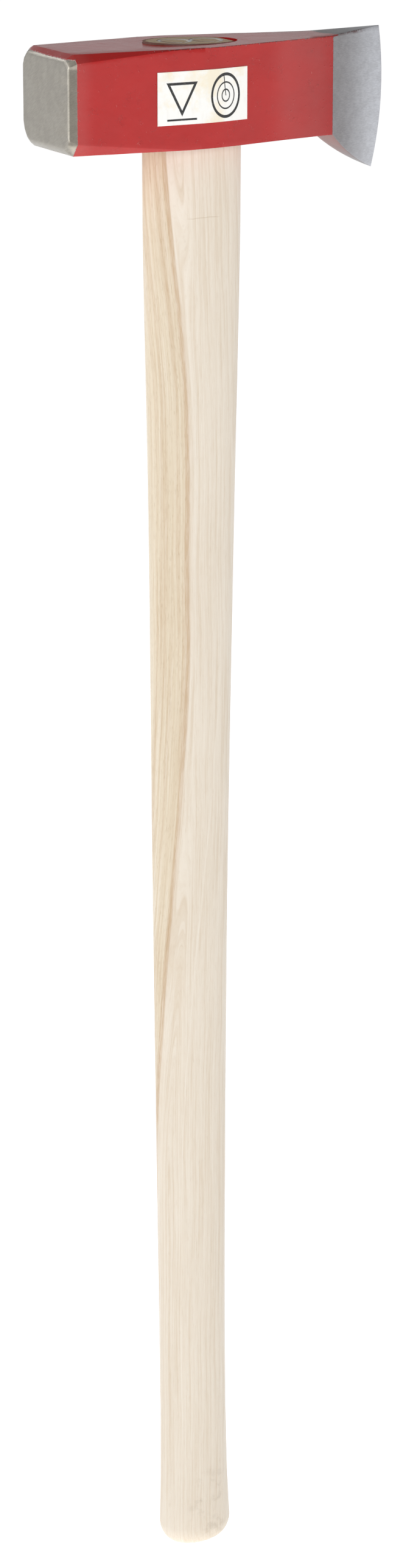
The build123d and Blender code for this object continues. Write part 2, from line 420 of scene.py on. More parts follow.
def model_head(head):
    """The forged head."""
    start_x = HEAD_LOW.x + head.rim_depth
    middle = ((start_x + head.neck_x) / 2, 0, (TOP_Z + UNDERSIDE_Z) / 2)
    size = (head.neck_x - start_x, head.poll_width, TOP_Z - UNDERSIDE_Z)
    piece = open_piece("maul_head", bpy.ops.mesh.primitive_cube_add, size=1, location=middle, scale=size)

    rows = 5
    for row in range(1, rows):
        cut_all((0, 0, UNDERSIDE_Z + (TOP_Z - UNDERSIDE_Z) * row / rows), (0, 0, 1))
    swell_start, swell_end, _ = swell_span(head)
    bends = 5
    stations = [swell_start + (swell_end - swell_start) * i / bends for i in range(bends + 1)]
    poll_rows = [start_x + 22 * MM, start_x + 43 * MM, head.fade_x]
    taper_rows = [30 * MM, 54 * MM]
    for x in poll_rows + stations + taper_rows:
        cut_all((x, 0, 0), (1, 0, 0))
    for x in stations[1:] + taper_rows + [head.neck_x]:
        pick_points(piece, lambda co: abs(co.x - x) < 0.01 * MM)
        resize(1, cheek_half(head, x) / (head.poll_width / 2), 1)
    for row in range(rows):
        pick_faces(piece, lambda middle, normal: normal.x > 0.5 and middle.x > head.neck_x - 0.5 * MM)
        level = UNDERSIDE_Z + (TOP_Z - UNDERSIDE_Z) * (row + 0.5) / rows
        bpy.ops.mesh.bisect(plane_co=(0, 0, level), plane_no=(0, 0, 1))
    shape_blade(piece, head)

    round_corner(head, -1, TOP_Z, -1, head.top_corner_width, head.top_corner_height)
    round_corner(head, -1, UNDERSIDE_Z, 1, head.low_corner_width, head.low_corner_height)
    for across, along in ((0.80, 0.33), (0.59, 0.59), (0.33, 0.80)):
        width = across * head.far_corner_width
        round_corner(head, 1, TOP_Z, -1, width, along * head.far_top_height)
        round_corner(head, 1, UNDERSIDE_Z, 1, width, along * head.far_low_height)

    pick_faces(piece, lambda middle, normal: normal.x < -0.9)
    draw_out(-head.rim_depth, 0, 0)
    half_height = (TOP_Z - UNDERSIDE_Z) / 2
    resize(
        1, 1 - head.rim_inset / (head.poll_width / 2), 1 - head.rim_inset / half_height,
        (0, 0, UNDERSIDE_Z + half_height),
    )
    turn = math.radians(10)
    near = head.rim_inset - head.poll_width / 2 + 1 * MM
    pick_edges(piece, lambda a, b: max(a.x, b.x) < HEAD_LOW.x + 0.01 * MM and max(a.y, b.y) > near, turn)
    bpy.ops.mesh.bevel(offset=head.rim_round, segments=4, affect="EDGES")
    close_piece()

    cutter = open_piece(
        "eye_cutter", bpy.ops.mesh.primitive_circle_add, vertices=72, radius=1, fill_type="NGON",
        location=(head.eye_x, 0, UNDERSIDE_Z - 10 * MM),
        scale=(head.eye_length / 2, head.eye_width / 2, 1),
    )
    pick_all()
    draw_out(0, 0, 80 * MM)
    close_piece()
    select_only(piece)
    add_modifier(piece, "BOOLEAN", operation="DIFFERENCE", object=cutter, solver="EXACT")
    bpy.data.objects.remove(cutter)

    add_modifier(
        piece, "BEVEL", width=head.edge_round, segments=3, limit_method="ANGLE",
        angle_limit=math.radians(24), use_clamp_overlap=True, harden_normals=False,
    )
    return piece


def soften_head(piece, head):
    """Densifies the head, lets its forged faces wander a little and keeps the ground line crisp."""
    select_only(piece)
    add_modifier(piece, "TRIANGULATE", min_vertices=5)
    add_modifier(piece, "SUBSURF", subdivision_type="SIMPLE", levels=2, render_levels=2)
    forging = bpy.data.textures.new("forging", "CLOUDS")
    forging.noise_scale = 24 * MM
    forging.noise_depth = 1
    group = piece.vertex_groups.new(name="forged")
    for point in piece.data.vertices:
        fade = min(max((head.neck_x - point.co.x) / (8 * MM), 0.0), 1.0)
        group.add([point.index], fade, "REPLACE")
    add_modifier(
        piece, "DISPLACE", texture=forging, texture_coords="LOCAL", strength=head.unevenness,
        mid_level=1.0, vertex_group="forged",
    )
    bpy.ops.object.mode_set(mode="EDIT")
    at_neck = 0.05 * MM
    pick_edges(
        piece, lambda *ends: all(abs(p.x - head.neck_x) < at_neck and abs(p.y) > 10 * MM for p in ends)
    )
    bpy.ops.mesh.mark_sharp()
    bpy.ops.mesh.select_all(action="DESELECT")
    bpy.ops.object.mode_set(mode="OBJECT")
    smooth_piece(piece, FORGED_SHADING)


def smooth_between(knots, place):
    """Values at a place on a smooth curve through (place, value...) knots."""
    last = len(knots) - 1
    index = max(i for i in range(last) if i == 0 or place > knots[i][0])
    span = knots[index + 1][0] - knots[index][0]
    share = (place - knots[index][0]) / span
    square = share**2
    cube = share**3

    def slope(at, column):
        """Rise of the curve over this span, at its slope at a knot."""
        before = knots[max(at - 1, 0)]
        after = knots[min(at + 1, last)]
        return (after[column] - before[column]) / (after[0] - before[0]) * span

    return [
        knots[index][column] * (2 * cube - 3 * square + 1)
        + slope(index, column) * (cube - 2 * square + share)
        + knots[index + 1][column] * (3 * square - 2 * cube)
        + slope(index + 1, column) * (cube - square)
        for column in range(1, len(knots[0]))
    ]


# Ovals of the shaft in millimetres. Lower ones: height above the butt, length, width, shift.
GRIP_OVALS = [
    (14.0, 41.6, 32.0, 2.0),
    (50.0, 39.4, 29.6, 1.4),
    (110.0, 38.7, 29.0, 0.6),
    (200.0, 39.6, 29.2, -0.2),
]
# Upper ones: distance below the head's underside, length, width, shift.
SHAFT_OVALS = [
    (400.0, 43.4, 30.4, -0.9),
    (200.0, 48.6, 32.4, -0.1),
]
NECK_IN_DEPTH = 60.0
NECK_IN = 0.8


def handle_ovals(head, handle):
    """Stations of the handle's shaft in metres: height, length, width, forward shift."""
    length = (head.eye_length + handle.ledge_poll + handle.ledge_blade) / MM
    width = (head.eye_width + 2 * handle.ledge_side) / MM
    shift = head.eye_x / MM + (handle.ledge_blade - handle.ledge_poll) / 2 / MM
    underside = UNDERSIDE_Z / MM
    knots = list(GRIP_OVALS)
    knots += [(underside - below, *sizes) for below, *sizes in SHAFT_OVALS]
    knots.append((underside - NECK_IN_DEPTH, length - NECK_IN, width - NECK_IN, shift))
    knots.append((underside, length, width, shift))
    first, last = knots[0][0], knots[-1][0]
    stations = []
    round_steps = 10
    for step in range(round_steps):
        turn = math.radians(90 * (step + 0.6) / (round_steps + 0.6))
        inset = 2 * (handle.end_round / MM) * (1 - math.sin(turn))
        height = first * (1 - math.cos(turn))
        stations.append((height, knots[0][1] - inset, knots[0][2] - inset, knots[0][3]))
    steps = 56
    for step in range(steps + 1):
        height = first + (last - first) * step / steps
        stations.append((height, *smooth_between(knots, height)))
    stations[0] = (0.0, *stations[0][1:])
    return [tuple(value * MM for value in station) for station in stations]


def model_handle(head, handle):
    """The ash handle, from its rounded butt to the sawn tenon."""
    stations = handle_ovals(head, handle)
    height, length, width, shift = stations[0]
    piece = open_piece(
        "maul_handle", bpy.ops.mesh.primitive_circle_add, vertices=72, radius=0.5, fill_type="NGON",
        location=(shift, 0, height), scale=(length, width, 1),
    )
    pick_all()
    tenon_low = (UNDERSIDE_Z, head.eye_length, head.eye_width, head.eye_x)
    above = TOP_Z + 2 * handle.proud
    tenon_high = (above, head.eye_length, head.eye_width, head.eye_x)
    for station in stations[1:] + [tenon_low, tenon_high]:
        draw_out(station[3] - shift, 0, station[0] - height)
        resize(station[1] / length, station[2] / width, 1, (station[3], 0, station[0]))
        height, length, width, shift = station

    front = head.eye_x + head.eye_length / 2
    for level, limit in ((UNDERSIDE_Z, front - handle.foot_gap), (above, front - handle.front_gap)):
        reach = head.eye_length / 2 + 0.01 * MM
        pick_points(
            piece,
            lambda co: abs(co.z - level) < 0.01 * MM and co.x > limit
            and ((co.x - head.eye_x) / reach) ** 2 + (co.y / (head.eye_width / 2 + 0.01 * MM)) ** 2 < 1,
        )
        resize(0, 1, 1, (limit, 0, level))
    share = (handle.proud + handle.sunk) / head.eye_length
    poll_end = head.eye_x - head.eye_length / 2
    cut_all((poll_end, 0, TOP_Z + handle.proud), Vector((share, 0, 1)).normalized(), remove=True)
    close_piece()
    return piece


def model_ring(name, node, handle, clearance=0.0, lift=0.0):
    """A slit ring, tapered to its driven end. Clearance and lift make it a cutter for its groove."""
    low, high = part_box(node)
    middle_x = (low.x + high.x) / 2
    outer = (high.x - low.x) / 2
    top = high.z + lift
    depth = top - low.z
    wall = handle.ring_wall
    piece = open_piece(
        name, bpy.ops.mesh.primitive_plane_add, size=1,
        location=(middle_x + outer - wall / 2, 0, top - depth / 2),
        rotation=(math.radians(90), 0, 0), scale=(wall + 2 * clearance, depth, 1),
    )
    pick_points(piece, lambda co: co.z < top - depth / 2)
    resize(
        (handle.ring_tip + 2 * clearance) / (wall + 2 * clearance), 1, 1,
        (middle_x + outer - wall / 2, 0, top - depth),
    )
    slit = handle.ring_slit / outer
    pick_all()
    bpy.ops.transform.rotate(
        value=-(slit / 2 - math.radians(90)), orient_axis="Z", center_override=(middle_x, 0, top)
    )
    bpy.ops.mesh.spin(
        steps=54, angle=2 * math.pi - slit, center=(middle_x, 0, top), axis=(0, 0, 1), dupli=False
    )
    pick_all()
    bpy.ops.mesh.remove_doubles(threshold=0.01 * MM)
    bpy.ops.mesh.fill_holes(sides=0)
    close_piece()
    return piece


# ---- Materials ----

class Signal:
    """A socket in a material. Arithmetic on it adds Math nodes."""

    def __init__(self, recipe, socket):
        self.recipe = recipe
        self.socket = socket

    def math(self, operation, *values):
        """One Math node on these values."""
        return self.recipe.node("ShaderNodeMath", {"operation": operation}, dict(enumerate(values)))

    def __add__(self, other):
        return self.math("ADD", self, other)

    def __radd__(self, other):
        return self.math("ADD", other, self)

    def __sub__(self, other):
        return self.math("SUBTRACT", self, other)

    def __rsub__(self, other):
        return self.math("SUBTRACT", other, self)

    def __mul__(self, other):
        return self.math("MULTIPLY", self, other)

    def __rmul__(self, other):
        return self.math("MULTIPLY", other, self)

    def __truediv__(self, other):
        return self.math("DIVIDE", self, other)

    def __abs__(self):
        return self.math("ABSOLUTE", self)

    def at_least(self, other):
        """The larger of the two."""
        return self.math("MAXIMUM", self, other)

    def at_most(self, other):
        """The smaller of the two."""
        return self.math("MINIMUM", self, other)

    def sine(self):
        """Its sine."""
        return self.math("SINE", self)

    def root(self):
        """Its square root."""
        return self.math("SQRT", self)

    def rise(self, low, high):
        """0 at low, 1 at high, smooth between."""
        return self.recipe.node(
            "ShaderNodeMapRange", {"interpolation_type": "SMOOTHSTEP"},
            {"Value": self, "From Min": low, "From Max": high},
        )

    def fall(self, low, high):
        """1 at low, 0 at high, smooth between."""
        return 1 - self.rise(low, high)

    def band(self, middle, half, soft):
        """1 near a middle value, 0 away from it."""
        return abs(self - middle).fall(half, half + soft)


class Recipe:
    """The nodes of one material, with the place on the object in millimetres."""

    def __init__(self, name):
        self.material = bpy.data.materials.new(name)
        self.material.use_nodes = True
        self.tree = self.material.node_tree
        self.tree.nodes.clear()
        coordinates = self.node("ShaderNodeTexCoord", {}, {}, "Object")
        self.place = self.node(
            "ShaderNodeVectorMath", {"operation": "SCALE"}, {0: coordinates, "Scale": 1 / MM}
        )
        self.facing = self.node("ShaderNodeTexCoord", {}, {}, "Normal")

    def node(self, kind, settings, values, output=0):
        """Any node: its settings first, then its sockets' values or links. Returns one output."""
        made = self.tree.nodes.new(kind)
        for key, value in settings.items():
            setattr(made, key, value)
        for key, value in values.items():
            if isinstance(value, Signal):
                self.tree.links.new(value.socket, made.inputs[key])
            else:
                made.inputs[key].default_value = value
        return Signal(self, made.outputs[output]) if len(made.outputs) else None

    def axes(self, vector=None):
        """The three numbers of a vector."""
        source = vector or self.place
        split = self.tree.nodes.new("ShaderNodeSeparateXYZ")
        self.tree.links.new(source.socket, split.inputs[0])
        return [Signal(self, output) for output in split.outputs]

    def join(self, x, y, z):
        """A vector from three numbers."""
        return self.node("ShaderNodeCombineXYZ", {}, {"X": x, "Y": y, "Z": z})

    def stretched(self, x, y, z):
        """The place, scaled along each axis."""
        return self.node(
            "ShaderNodeVectorMath", {"operation": "MULTIPLY"}, {0: self.place, 1: (x, y, z)}
        )

    def noise(self, vector, scale, detail=2.0, roughness=0.5, distortion=0.0):
        """Soft noise from 0 to 1. Scale is features per millimetre."""
        return self.node(
            "ShaderNodeTexNoise", {},
            {"Vector": vector, "Scale": scale, "Detail": detail, "Roughness": roughness,
             "Distortion": distortion},
        )

    def spots(self, *values):
        """The same noise at the place itself."""
        return self.noise(self.place, *values)

    def mix(self, factor, first, second, blend_type="MIX"):
        """One colour over another."""
        values = {0: factor}
        for key, colour in ((6, first), (7, second)):
            values[key] = colour if isinstance(colour, Signal) else (*colour, 1.0)
        return self.node("ShaderNodeMix", {"data_type": "RGBA", "blend_type": blend_type}, values, 2)

    def tint(self, colour, factor, shade):
        """A colour multiplied by a shade, as far as factor says."""
        return self.mix(factor, colour, shade, "MULTIPLY")

    def bump(self, height, depth, under=None):
        """Surface relief: height in 0 to 1, depth in millimetres."""
        values = {"Height": height, "Strength": 1.0, "Distance": depth * MM}
        if under is not None:
            values["Normal"] = under
        return self.node("ShaderNodeBump", {}, values)

    def finish(self, **sockets):
        """Closes the material with one Principled shader."""
        values = {}
        for key, value in sockets.items():
            values[key.replace("_", " ")] = value
        shader = self.node("ShaderNodeBsdfPrincipled", {}, values)
        self.node("ShaderNodeOutputMaterial", {}, {"Surface": shader})
        return self.material


def head_material(head, colours):
    """Glossy red paint over forged steel, with the poll and the blade ground bare."""
    r = Recipe("head_finish")
    x, y, z = r.axes()
    _, _, facing_z = r.axes(r.facing)
    underside = UNDERSIDE_Z / MM
    neck = head.neck_x / MM
    half = head.poll_width / 2 / MM
    neck_half = head.neck_width / 2 / MM
    taper = (half - neck_half) / (neck - head.swell_x / MM)
    blade_taper = (neck_half - head.edge_land / 2 / MM) / (head.edge_top_x / MM - neck)
    face_half = half - head.rim_inset / MM
    below_top = TOP_Z / MM - z
    past_rim = x - (HEAD_LOW.x + head.rim_depth) / MM

    ragged = r.spots(0.8, 4.0, 0.65) - 0.5
    wander = r.spots(0.16, 2.0) - 0.5

    # Ground striking end: bare but for its upper rim.
    poll_line = past_rim + 0.7 * ragged
    bare_poll = poll_line.fall(-0.15, 0.15)
    upper_rim = (below_top + 1.6 * ragged + 0.03 * y.at_least(0.0)).fall(2.4, 2.9)
    bare_poll = bare_poll * (1 - upper_rim)

    # Ground blade: bare past the neck, with a tongue of paint left on the top face.
    on_top = below_top.fall(0.35, 0.8)
    cheek = half - taper * (x - head.swell_x / MM).at_least(0.0)
    to_edge = cheek.at_most(neck_half - blade_taper * (x - neck)) - abs(y)
    tongue = on_top * (y + 6 * wander).fall(-11.0, 0.0) * 3.5
    blade_line = x - neck - tongue + 1.6 * ragged * below_top.fall(0.5, 3.0) + 0.5 * ragged
    bare_blade = blade_line.rise(-0.12, 0.12)

    # Small chips along the poll's boundary, the top face's edges and the neck.
    near_poll = past_rim.fall(0.5, 5.0)
    near_neck = (x - neck).rise(-5.0, -0.3)
    near_top_edge = to_edge.fall(0.6, 2.2) * below_top.fall(0.8, 2.0)
    grit = r.spots(1.1, 3.0, 0.6)
    wear = (0.55 * near_poll + 0.5 * near_neck).at_least(0.8 * near_top_edge)
    chips = (grit + 0.16 * wear).rise(0.765, 0.785)
    specks = r.spots(2.3, 2.0).rise(0.84, 0.86)
    bare = bare_poll.at_least(bare_blade).at_least(chips * 0.85).at_least(specks * 0.5)

    # Red overspray under the beard.
    underneath = (0 - facing_z).rise(0.45, 0.7)
    overspray = underneath * bare_blade * (x + 8 * wander).fall(neck - 2, neck + 26)
    edge_paint = below_top.fall(-1.2, 0.9) * to_edge.band(0.1, 0.35, 0.3) * (x - neck).rise(0.0, 2.0)
    edge_paint = edge_paint * (x - neck).fall(16.0, 26.0) * (ragged + 0.5).rise(0.42, 0.52)

    # Paint.
    clouds = r.spots(0.045, 3.0, 0.55)
    pimples = r.node(
        "ShaderNodeTexVoronoi", {"feature": "F1"}, {"Vector": r.place, "Scale": 0.32}
    ).fall(0.03, 0.16)
    pimples = pimples * r.spots(0.12, 1.0).rise(0.42, 0.54)
    wrinkle = r.spots(0.30, 2.0, 0.5, 1.2).band(0.5, 0.003, 0.007)
    wrinkle = wrinkle * r.spots(0.16, 2.0).rise(0.59, 0.64)
    dark_line = on_top * to_edge.fall(0.5, 1.5) * (ragged + 0.5).rise(0.32, 0.6)
    paint = r.mix(clouds.rise(0.3, 0.75) * 0.16, colours.paint, colours.paint_dark_and_rim_shade)
    # Painted shade: the paint darkens towards the neck.
    paint = r.tint(paint, (x - neck).rise(-34.0, -4.0), (0.82, 0.80, 0.80))
    # Painted shade: the poll's upper rim facet is pulled towards the dark paint colour.
    paint = r.mix(upper_rim * poll_line.fall(-0.3, 0.4) * 0.45, paint, colours.paint_dark_and_rim_shade)
    paint = r.mix(dark_line * 0.8, paint, (0.05, 0.006, 0.005))
    # Painted sheen: a mottled pinkish veil near the poll end and in a band before the neck, which also
    # makes the paint a little rougher there.
    sheen_zones = past_rim.fall(1.0, 11.0) * 0.06 + (x - neck).band(-20.5, 9.0, 16.0) * 0.05
    painted_sheen = sheen_zones * (0.6 + 0.8 * r.spots(0.09, 3.0))
    paint = r.mix(painted_sheen, paint, (0.62, 0.42, 0.40))
    scuffs = r.noise(r.stretched(0.9, 0.9, 0.25), 1.6, 2.0).rise(0.74, 0.76)
    paint = r.mix(scuffs * 0.4, paint, (0.55, 0.22, 0.20))
    paint = r.mix(wrinkle * 0.30, paint, (0.58, 0.16, 0.14))

    # Steel: slanting grinding marks on the poll, level ones on the blade.
    slant = r.join(x, y * 0.88 - z * 0.47, y * 0.47 + z * 0.88)
    poll_marks = r.noise(
        r.node("ShaderNodeVectorMath", {"operation": "MULTIPLY"}, {0: slant, 1: (1.0, 0.22, 3.2)}),
        1.0, 3.0, 0.6,
    )
    blade_marks = r.noise(r.stretched(0.33, 1.0, 3.4), 1.0, 3.0, 0.6)
    mottle = r.spots(0.22, 4.0, 0.6)
    pits = r.spots(0.75, 2.0).rise(0.745, 0.78)
    marks = poll_marks * bare_poll + blade_marks * (1 - bare_poll)
    steel = r.mix(bare_poll, colours.blade_steel, colours.poll_steel)
    steel = r.tint(steel, 1.0, r.mix(marks.rise(0.35, 0.65), (0.90, 0.90, 0.91), (1.07, 1.07, 1.07)))
    steel = r.tint(steel, 0.4, r.mix(mottle.rise(0.35, 0.65), (0.86, 0.85, 0.84), (1.08, 1.08, 1.08)))
    toward_edge = bare_blade * (x - neck).rise(3.0, 36.0)
    steel = r.tint(steel, bare_blade, r.mix(toward_edge, (0.71, 0.69, 0.69), (1.34, 1.37, 1.42)))
    # Painted shade on the near side's rim facet, and a painted highlight on its upper and lower corners.
    near_rim = bare_poll * past_rim.rise(-3.6, -3.0) * (0 - y).rise(face_half - 3, face_half - 0.5)
    steel = r.tint(steel, near_rim, (0.73, 0.71, 0.68))
    corner_gleam = near_rim * (z - underside).fall(4.5, 7.0).at_least(below_top.fall(6.0, 8.0))
    steel = r.tint(steel, corner_gleam, (2.1, 2.1, 2.1))
    # Painted highlight along the crease between the striking face and its rim.
    crease_highlight = bare_poll * (abs(y) - face_half).band(0.0, 0.35, 0.3) * past_rim.fall(-3.6, -2.9)
    steel = r.tint(steel, crease_highlight * (0.5 + grit), (1.7, 1.7, 1.68))
    steel = r.tint(steel, pits * 0.5, (0.45, 0.43, 0.41))
    # Painted shade on the blade's down-facing faces.
    steel = r.tint(steel, underneath * bare_blade, (0.44, 0.41, 0.40))
    steel = r.mix(overspray * 0.6, steel, (0.40, 0.17, 0.15))
    steel = r.mix(edge_paint * 0.85, steel, (0.10, 0.012, 0.010))

    rim_edge = bare * (1 - bare.rise(0.5, 1.0))
    colour = r.mix(bare, paint, steel)
    colour = r.mix(rim_edge * 0.45, colour, (0.03, 0.012, 0.010))

    roughness = bare * (0.40 + 0.14 * (marks - 0.5) + 0.12 * overspray) + (1 - bare) * (0.20 + 0.1 * painted_sheen)
    relief = r.bump(bare * marks, 0.035)
    relief = r.bump((1 - bare) * r.spots(0.11, 3.0), 0.30, relief)
    lumps = (1 - bare) * (0.25 + 0.75 * pimples + 0.5 * wrinkle)
    relief = r.bump(lumps + 0.12 * bare * (1 - pits), 0.15, relief)
    return r.finish(
        Base_Color=colour, Roughness=roughness, Metallic=bare * (0.94 - 0.5 * overspray), Normal=relief
    )


def ash_material(head, colours):
    """Ash wood: growth rings seen along the shaft, pores, a tan streak and sawn end grain."""
    r = Recipe("ash_wood")
    x, y, z = r.axes()
    _, _, facing_z = r.axes(r.facing)
    below = TOP_Z / MM - z

    # How far the grain has wandered sideways at each depth below the head's top.
    wander = -12.3 * below.fall(40.0, 200.0) - 20.0 * below.rise(300.0, 640.0)
    sway = (r.noise(r.stretched(0.0, 0.0, 1.0), 0.011, 2.0) - 0.5) * 3.0
    warp = (r.noise(r.stretched(0.03, 0.03, 0.006), 1.0, 2.0) - 0.5) * 5.0
    turn = math.radians(GRAIN_TURN)
    across = math.cos(turn) * x - math.sin(turn) * y
    depth_way = math.sin(turn) * x + math.cos(turn) * y
    ring = across + 0.0065 * depth_way * depth_way - wander - sway + 0.35 * warp

    # Growth lines: fine and pale on one side of the streak, broad and tan on the other.
    straight = ring + ring.rise(1.0, 10.0) * 0.75 * wander
    lines = r.join(straight, 0.12 * depth_way, 0.010 * z)
    broad = r.noise(lines, 0.36, 3.0, 0.62)
    thin = r.noise(lines, 1.15, 3.0, 0.6)
    fibre = r.noise(r.join(straight, 0.6 * depth_way, 0.05 * z), 2.2, 3.0, 0.6)
    pores = r.noise(r.join(straight, 0.7 * depth_way, 0.09 * z), 2.6, 1.0, 0.4).rise(0.60, 0.72)

    left = ring.fall(-1.5, 1.2)
    wood = r.mix(left * 0.55, colours.ash_pale, colours.ash_cream)
    tan = left * broad.rise(0.46, 0.66) * (0.45 + 0.55 * fibre.rise(0.3, 0.7))
    wood = r.mix(tan * 0.60, wood, colours.ash_tan)
    wood = r.mix(left * broad.fall(0.28, 0.42) * 0.5, wood, colours.ash_pale)
    tan_band = ring.band(0.0, 0.7, 1.1) * (0.5 + 0.5 * fibre.rise(0.25, 0.6))
    wood = r.mix(tan_band * 0.80, wood, colours.ash_tan)
    wood = r.tint(wood, thin.rise(0.50, 0.62) * 0.85, (0.93, 0.895, 0.85))
    wood = r.tint(wood, fibre.rise(0.42, 0.62) * 0.6, (0.955, 0.93, 0.90))
    wood = r.mix(thin.fall(0.36, 0.47) * 0.30, wood, (0.81, 0.75, 0.66))
    pale_line = ring.band(16.0, 0.2, 0.4) * below.rise(150.0, 420.0)
    wood = r.mix(pale_line * 0.28, wood, (0.84, 0.79, 0.71))
    pore_lines = pores * (0.35 + 0.65 * left)
    wood = r.tint(wood, pore_lines * 0.30, (0.66, 0.55, 0.43))
    patches = r.noise(r.stretched(0.05, 0.05, 0.012), 1.0, 3.0, 0.6).rise(0.35, 0.7)
    wood = r.tint(wood, patches * 0.30, (0.93, 0.91, 0.88))
    # Painted shade: the wood just under the head, towards the poll, is warmed and darkened.
    warm_shade_under_head = below.fall(52.0, 95.0) * across.fall(-26.0, -12.0)
    wood = r.tint(wood, warm_shade_under_head * 0.6, (0.95, 0.84, 0.72))

    # Handling marks near the butt, and a scratch under the head.
    hand = r.spots(0.07, 5.0, 0.7).rise(0.5, 0.68) * z.band(26.0, 8.0, 22.0)
    wood = r.tint(wood, hand * across.rise(-6.0, 8.0) * 0.34, (0.52, 0.47, 0.42))
    waver = 1.6 * r.noise(r.stretched(0.16, 0.16, 0.0), 1.0, 2.0)
    scratch = (below - 88.2 - waver + 0.03 * across).band(0.0, 0.06, 0.16) * across.band(6.0, 6.0, 4.0)
    wood = r.tint(wood, scratch * y.fall(-4.0, 0.0) * 0.5, (0.62, 0.50, 0.37))

    # End grain on the sawn tenon, with stains of paint that thicken to its rim.
    sawn = below.fall(1.0, 1.6) * facing_z.rise(0.6, 0.9)
    arcs = (ring * (2 * math.pi / YEAR_WIDTH)).sine() * 0.5 + 0.5
    saw = r.noise(r.stretched(0.25, 2.4, 1.0), 1.0, 3.0, 0.6)
    end = r.mix(arcs * 0.5, colours.end_grain, (0.62, 0.48, 0.32))
    end = r.tint(end, saw.rise(0.3, 0.7) * 0.6, (0.55, 0.52, 0.5))
    eye_x = (x - head.eye_x / MM) / (head.eye_length / 2 / MM)
    eye_y = y / (head.eye_width / 2 / MM)
    to_rim = (eye_x * eye_x + eye_y * eye_y).root()
    stain = 0.55 * r.spots(0.5, 3.0) + 0.45 * to_rim.rise(0.80, 1.0)
    end = r.mix(stain.rise(0.57, 0.65) * 0.80, end, (0.12, 0.020, 0.016))
    cracks = r.noise(r.stretched(0.35, 0.35, 1.0), 1.0, 4.0, 0.6, 0.6).band(0.5, 0.004, 0.008)
    end = r.tint(end, cracks * 0.7, (0.25, 0.2, 0.16))
    wood = r.mix(sawn, wood, end)
    # Red paint stain and painted shadow on the tenon's proud side wall, just under the top.
    rim_paint_and_shadow = below.fall(0.3, 0.9) * (1 - sawn)
    wood = r.mix(rim_paint_and_shadow * 0.9, wood, (0.11, 0.022, 0.018))

    roughness = 0.42 + 0.12 * (fibre - 0.5) + 0.3 * sawn
    relief = r.bump(fibre * 0.4 + 0.4 * (1 - pore_lines) + 0.2 * thin, 0.06)
    relief = r.bump(sawn * saw, 0.25, relief)
    return r.finish(Base_Color=wood, Roughness=roughness, Normal=relief, IOR=1.45)


def ring_material():
    """Cut steel tube, hammered at its top, with specks of rust."""
    r = Recipe("ring_steel")
    grit = r.spots(0.9, 4.0, 0.6)
    brushed = r.noise(r.stretched(0.5, 0.5, 3.0), 1.0, 3.0, 0.6)
    steel = r.mix(grit.rise(0.35, 0.7), (0.74, 0.74, 0.72), (0.55, 0.54, 0.53))
    rust = r.spots(1.4, 4.0, 0.7).rise(0.62, 0.72)
    steel = r.mix(rust * 0.5, steel, (0.17, 0.08, 0.05))
    steel = r.tint(steel, brushed.rise(0.3, 0.7) * 0.25, (0.7, 0.7, 0.7))
    relief = r.bump(grit, 0.12)
    metallic = 0.6 - 0.4 * rust
    return r.finish(Base_Color=steel, Roughness=0.38 + 0.2 * grit, Metallic=metallic, Normal=relief)


def sticker_material(colours):
    """Off-white film, printed with a plain wedge and a log's end, and a little stained."""
    r = Recipe("sticker_film")
    x, _, z = r.axes()
    across = x - LABEL_LOW.x / MM
    up = z - LABEL_LOW.z / MM
    rough_print = (r.spots(3.0, 2.0) - 0.5) * 0.12

    # Wedge outline: a triangle that points down, over a line.
    wedge_middle = 14.0
    slope = 0.52
    inner = (abs(across - wedge_middle) - slope * (up - 4.2)) * 0.887
    rail = inner.at_least(up - 21.5).at_least(0 - (up - 4.0)) + rough_print
    wedge_line = rail.band(-0.7, 0.62, 0.12)
    grain_line = up.band(2.6, 0.45, 0.12) * across.band(wedge_middle, 8.5, 0.1)

    # Log's end: an oval outline with growth rings.
    log_middle = 40.0
    log_height = 13.3
    log_x = (across - log_middle) / 8.6
    log_z = (up - log_height) / 10.8
    log_far = (log_x * log_x + log_z * log_z).root()
    split = (across - log_middle + 0.12 * (up - log_height)).band(0.0, 0.22, 0.1)
    split = split * up.rise(log_height - 0.3, log_height + 0.1) * log_far.fall(0.93, 0.95)
    ink = wedge_line.at_least(grain_line).at_least(split)
    for far, half_line, wobble in ((1.0, 0.065, 0.02), (0.62, 0.03, 0.1), (0.28, 0.03, 0.1)):
        ink = ink.at_least((log_far + wobble * rough_print).band(far, half_line, 0.012))
    ink = ink * r.spots(2.2, 4.0, 0.7).rise(0.30, 0.36)

    stain = r.spots(0.11, 4.0, 0.65) + 0.20 * across.band(33.0, 2.0, 7.0)
    stain = (stain + 0.1 * up.rise(14.0, 26.0)).rise(0.50, 0.82)
    smear = r.noise(r.stretched(0.5, 1.0, 0.12), 1.0, 3.0).rise(0.52, 0.75)
    film = r.mix(stain * 0.80, colours.sticker, (0.86, 0.77, 0.58))
    film = r.mix(smear * 0.22, film, (0.74, 0.70, 0.64))
    colour = r.mix(ink, film, colours.ink)
    relief = r.bump(r.spots(0.25, 3.0), 0.06)
    return r.finish(Base_Color=colour, Roughness=0.34 + 0.1 * stain, Normal=relief, Coat_Weight=0.15)


def floor_material(colours):
    """Pale studio floor that also gives a little light, as a light table does."""
    r = Recipe("studio_floor")
    tone = r.spots(0.002, 2.0)
    floor = r.mix(tone * 0.05, colours.floor, (0.86, 0.86, 0.86))
    return r.finish(Base_Color=floor, Roughness=0.7, Emission_Color=floor, Emission_Strength=FLOOR_GLOW)


# ---- Operators ----

